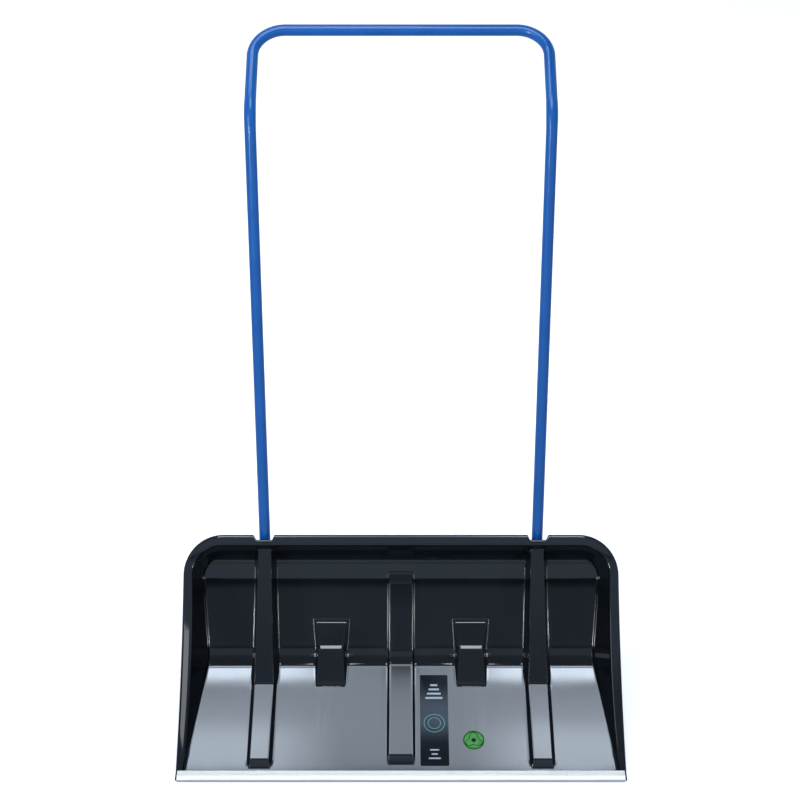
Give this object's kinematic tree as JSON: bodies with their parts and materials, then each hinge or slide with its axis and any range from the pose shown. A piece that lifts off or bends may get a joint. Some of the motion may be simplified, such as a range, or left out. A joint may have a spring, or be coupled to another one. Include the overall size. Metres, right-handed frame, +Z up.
{
  "type": "snow pusher",
  "caption": "Wide moulded snow scoop with an aluminium wear edge, a bent tube push handle and small wheels in housings under the scoop.",
  "frame": {"origin": "middle of the footprint, on the ground that the wear edge and both wheels stand on", "axes": "+X to the user's right when facing the scoop from the front, +Y from the wear edge back to the handle bar, +Z up"},
  "size_m": [0.75, 0.88, 0.9055],
  "materials": {
    "scoop_plastic": "black moulded polypropylene, glossy, finely scuffed",
    "edge_aluminium": "plain extruded aluminium, satin, brushed along its length",
    "rivet_steel": "flush steel rivets, dull",
    "handle_paint": "blue powder coat, glossy",
    "label_film": "dark printed film, slight sheen",
    "green_film": "green printed film, slight sheen",
    "plug_plastic": "black moulded plastic, matt",
    "screw_zinc": "zinc-plated steel",
    "wheel_plastic": "black moulded plastic, worn on the tread",
    "axle_steel": "drawn steel rod, light oil",
    "washer_plastic": "natural nylon",
    "cap_plastic": "black push-on cap, glossy"
  },
  "bodies": {
    "pusher": {"scoop": "scoop_plastic", "edge_strip": "edge_aluminium", "edge_rivets": "rivet_steel", "handle_tube": "handle_paint", "label_sticker": "label_film", "round_sticker": "green_film", "tube_plug_left": "plug_plastic", "handle_screws_left": "screw_zinc", "handle_washers_left": "screw_zinc", "axle_left": "axle_steel", "wheel_washers_left": "washer_plastic", "axle_cap_left_inner": "cap_plastic", "axle_cap_left_outer": "cap_plastic", "tube_plug_right": "plug_plastic", "handle_screws_right": "screw_zinc", "handle_washers_right": "screw_zinc", "axle_right": "axle_steel", "wheel_washers_right": "washer_plastic", "axle_cap_right_inner": "cap_plastic", "axle_cap_right_outer": "cap_plastic"},
    "wheel_left": {"wheel_left": "wheel_plastic"},
    "wheel_right": {"wheel_right": "wheel_plastic"}
  },
  "joints": [
    {"name": "wheel_left_spin", "type": "hinge", "parent": "pusher", "child": "wheel_left", "pos_m": [-0.1215, -0.1975, 0.027], "axis": [1, 0, 0], "continuous": true},
    {"name": "wheel_right_spin", "type": "hinge", "parent": "pusher", "child": "wheel_right", "pos_m": [0.1215, -0.1975, 0.027], "axis": [1, 0, 0], "continuous": true}
  ]
}
